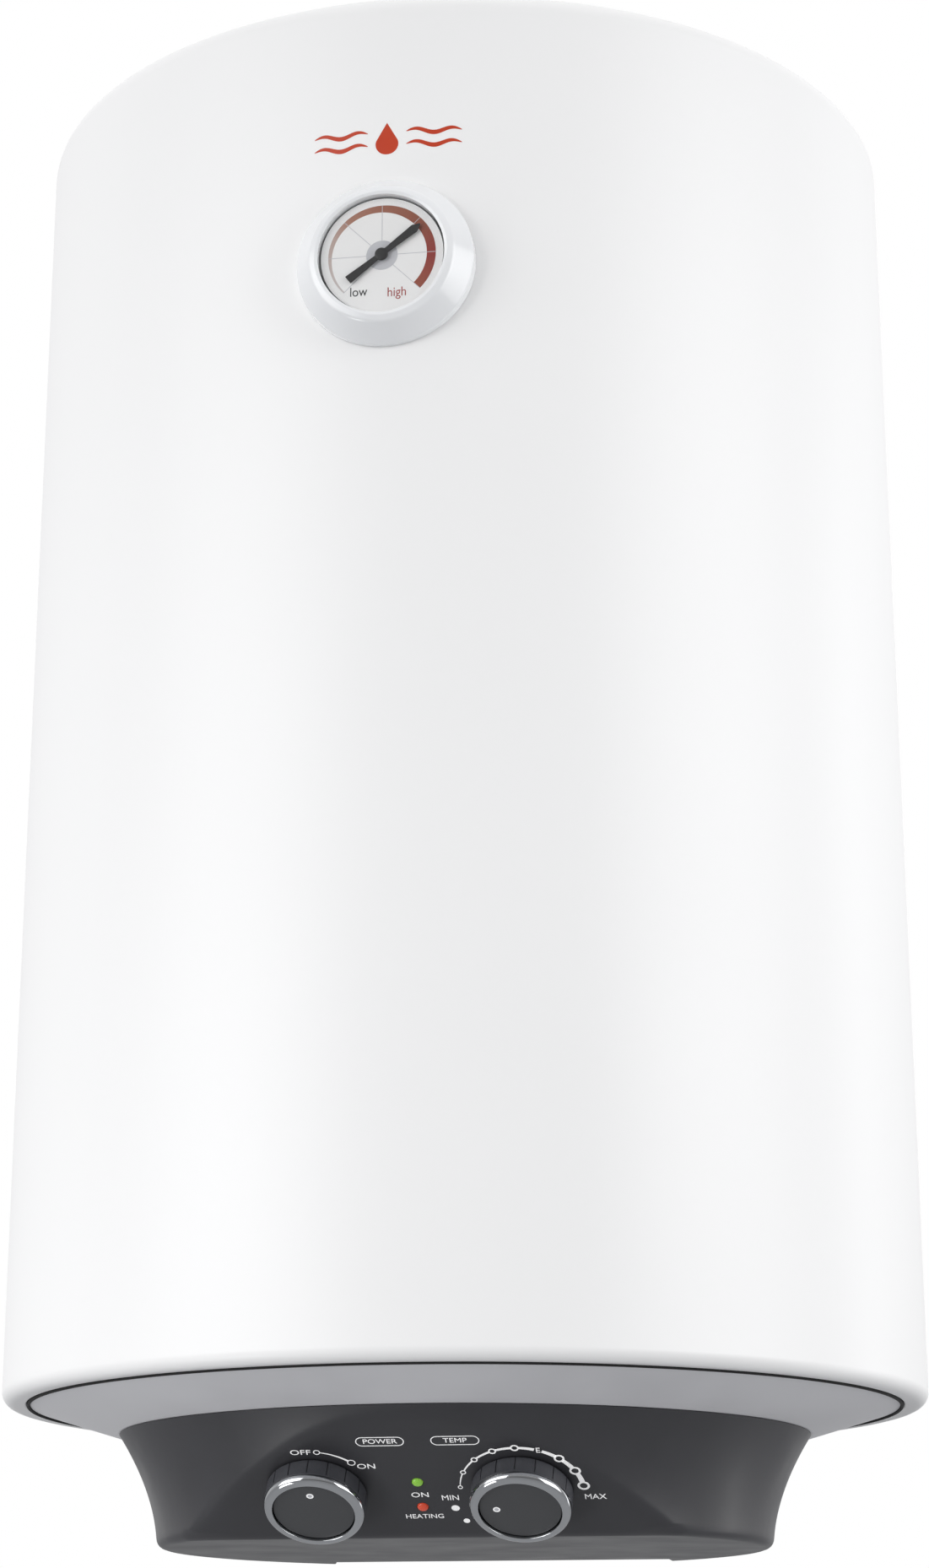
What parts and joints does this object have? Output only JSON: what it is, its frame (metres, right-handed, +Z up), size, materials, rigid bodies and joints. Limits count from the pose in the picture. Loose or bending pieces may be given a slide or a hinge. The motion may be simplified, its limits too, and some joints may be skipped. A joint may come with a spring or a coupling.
{
  "type": "tank water heater",
  "caption": "Wall-hung vertical electric storage water heater: white round drum with a dial thermometer above a dark control housing with knobs and pilot lamps.",
  "frame": {"origin": "centre of the wall bracket's back face, where it bears on the wall", "axes": "+Z up along the drum, +Y into the wall, -Y the front with the thermometer and the controls, +X to the right seen from the front"},
  "size_m": [0.45, 0.4785, 0.7303],
  "materials": {
    "white_lacquer": "gloss white stove-enamelled sheet steel",
    "white_plastic": "gloss white moulded ABS",
    "dark_plastic": "fine satin charcoal moulded plastic",
    "black_plastic": "satin black moulded plastic",
    "chrome_ring": "polished chrome plate",
    "dial_white": "printed white dial",
    "clear_lens": "clear moulded lens",
    "green_lens": "translucent green lens",
    "red_lens": "translucent red lens",
    "enamelled_steel": "blue vitreous enamel on steel",
    "foam": "rigid polyurethane foam",
    "steel": "plain welded steel",
    "zinc_plate": "zinc-plated steel",
    "black_rubber": "matt black rubber",
    "copper": "copper tube",
    "bimetal": "bimetal strip",
    "magnesium": "cast magnesium rod",
    "beige_plastic": "beige moulded plastic",
    "circuit_board": "green circuit board",
    "blue_plastic": "blue moulded plastic",
    "red_plastic": "red moulded plastic"
  },
  "bodies": {
    "heater": {"bimetal_coil": "bimetal", "bottom_cover": "white_plastic", "bracket_bolt_left_lower": "zinc_plate", "bracket_bolt_left_upper": "zinc_plate", "bracket_bolt_right_lower": "zinc_plate", "bracket_bolt_right_upper": "zinc_plate", "cable_gland": "black_plastic", "cold_collar": "blue_plastic", "cold_pipe": "steel", "control_housing": "dark_plastic", "flange_bolt_1": "zinc_plate", "flange_bolt_2": "zinc_plate", "flange_bolt_3": "zinc_plate", "flange_bolt_4": "zinc_plate", "flange_bolt_5": "zinc_plate", "flange_gasket": "black_rubber", "flange_neck": "steel", "flange_plate": "zinc_plate", "gauge_bezel": "white_plastic", "gauge_case": "black_plastic", "gauge_dial": "dial_white", "gauge_lens": "clear_lens", "green_lamp_lens": "green_lens", "hanger_block_left": "steel", "hanger_block_right": "steel", "heating_element": "copper", "hot_collar": "red_plastic", "hot_outlet_tube": "beige_plastic", "hot_pipe": "steel", "housing_screw_1": "zinc_plate", "housing_screw_2": "zinc_plate", "inner_tank": "enamelled_steel", "insulation_foam": "foam", "lamp_board": "circuit_board", "lower_wall_rest": "black_rubber", "magnesium_anode": "magnesium", "outer_casing": "white_lacquer", "power_switch": "beige_plastic", "red_lamp_lens": "red_lens", "terminal_block": "beige_plastic", "thermostat": "beige_plastic", "thermostat_bulb": "copper", "thermostat_capillary": "copper", "thermostat_pocket": "copper", "top_cover": "white_lacquer", "wall_bracket": "zinc_plate"},
    "gauge_pointer": {"gauge_pointer": "black_plastic", "gauge_spindle": "zinc_plate"},
    "power_knob": {"power_knob": "dark_plastic", "power_knob_ring": "chrome_ring", "power_knob_face": "black_plastic", "power_shaft": "zinc_plate"},
    "temperature_knob": {"temperature_knob": "dark_plastic", "temperature_knob_ring": "chrome_ring", "temperature_knob_face": "black_plastic", "temperature_shaft": "zinc_plate"}
  },
  "joints": [
    {"name": "gauge_pointer_turn", "type": "hinge", "parent": "heater", "child": "gauge_pointer", "pos_m": [0, -0.465, 0.0332], "axis": [0, 1, 0], "range_deg": [-187.5, 82.5], "stiffness_Nm_per_rad": 0.0005},
    {"name": "power_knob_turn", "type": "hinge", "parent": "heater", "child": "power_knob", "pos_m": [-0.047, -0.36303, -0.52607], "axis": [0, 0.5736, 0.8192], "range_deg": [0, 38]},
    {"name": "temperature_knob_turn", "type": "hinge", "parent": "heater", "child": "temperature_knob", "pos_m": [0.047, -0.36303, -0.52607], "axis": [0, 0.5736, 0.8192], "range_deg": [-44, 172]}
  ]
}
